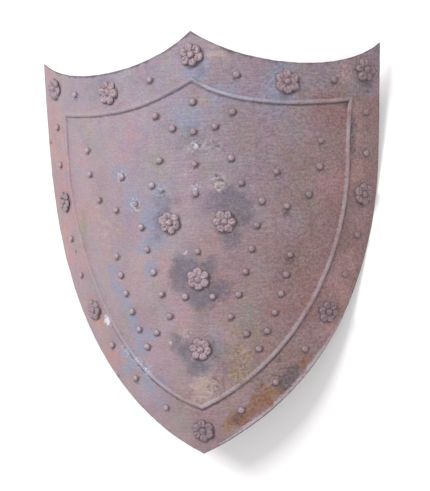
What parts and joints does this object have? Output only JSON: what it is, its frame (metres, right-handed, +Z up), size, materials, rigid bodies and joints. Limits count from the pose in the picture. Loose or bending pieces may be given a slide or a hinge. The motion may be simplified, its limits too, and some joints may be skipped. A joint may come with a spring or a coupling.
{
  "type": "heater shield",
  "caption": "Curled iron heater shield with a raised bead round the field, six-petalled rosettes and domed rivets, worn and weathered, lying face up.",
  "frame": {"origin": "middle of the bounding box on the ground that the two side edges rest on", "axes": "+X to the right as the shield is seen from the front, +Y from the tip towards the top edge, +Z up, out of the convex face"},
  "size_m": [0.5204, 0.5984, 0.1293],
  "materials": {
    "plate_iron": "weathered red-brown oxide on beaten sheet iron, matt, with pale worn edges",
    "rosette_iron": "weathered oxide, matt, darker in the hollows",
    "rivet_iron": "weathered oxide, worn to a dull sheen on the crowns"
  },
  "bodies": {
    "root": {"plate": "plate_iron", "rosette_top": "rosette_iron", "rosette_tip": "rosette_iron", "rosette_centre": "rosette_iron", "rosette_lower": "rosette_iron", "rosette_field_left": "rosette_iron", "rosette_top_left": "rosette_iron", "rosette_corner_left": "rosette_iron", "rosette_side_left": "rosette_iron", "rosette_flank_left": "rosette_iron", "rosette_field_right": "rosette_iron", "rosette_top_right": "rosette_iron", "rosette_corner_right": "rosette_iron", "rosette_side_right": "rosette_iron", "rosette_flank_right": "rosette_iron", "rivet_middle_1": "rivet_iron", "rivet_middle_2": "rivet_iron", "rivet_middle_3": "rivet_iron", "rivet_middle_4": "rivet_iron", "rivet_middle_5": "rivet_iron", "rivet_field_left_1": "rivet_iron", "rivet_field_left_2": "rivet_iron", "rivet_field_left_3": "rivet_iron", "rivet_field_left_4": "rivet_iron", "rivet_field_left_5": "rivet_iron", "rivet_field_left_6": "rivet_iron", "rivet_field_left_7": "rivet_iron", "rivet_field_left_8": "rivet_iron", "rivet_field_left_9": "rivet_iron", "rivet_field_left_10": "rivet_iron", "rivet_top_left_1": "rivet_iron", "rivet_top_left_2": "rivet_iron", "rivet_side_left_1": "rivet_iron", "rivet_side_left_2": "rivet_iron", "rivet_side_left_3": "rivet_iron", "rivet_side_left_4": "rivet_iron", "rivet_side_left_5": "rivet_iron", "rivet_side_left_6": "rivet_iron", "rivet_side_left_7": "rivet_iron", "rivet_field_right_1": "rivet_iron", "rivet_field_right_2": "rivet_iron", "rivet_field_right_3": "rivet_iron", "rivet_field_right_4": "rivet_iron", "rivet_field_right_5": "rivet_iron", "rivet_field_right_6": "rivet_iron", "rivet_field_right_7": "rivet_iron", "rivet_field_right_8": "rivet_iron", "rivet_field_right_9": "rivet_iron", "rivet_field_right_10": "rivet_iron", "rivet_top_right_1": "rivet_iron", "rivet_top_right_2": "rivet_iron", "rivet_side_right_1": "rivet_iron", "rivet_side_right_2": "rivet_iron", "rivet_side_right_3": "rivet_iron", "rivet_side_right_4": "rivet_iron", "rivet_side_right_5": "rivet_iron", "rivet_side_right_6": "rivet_iron", "rivet_side_right_7": "rivet_iron"}
  },
  "joints": []
}
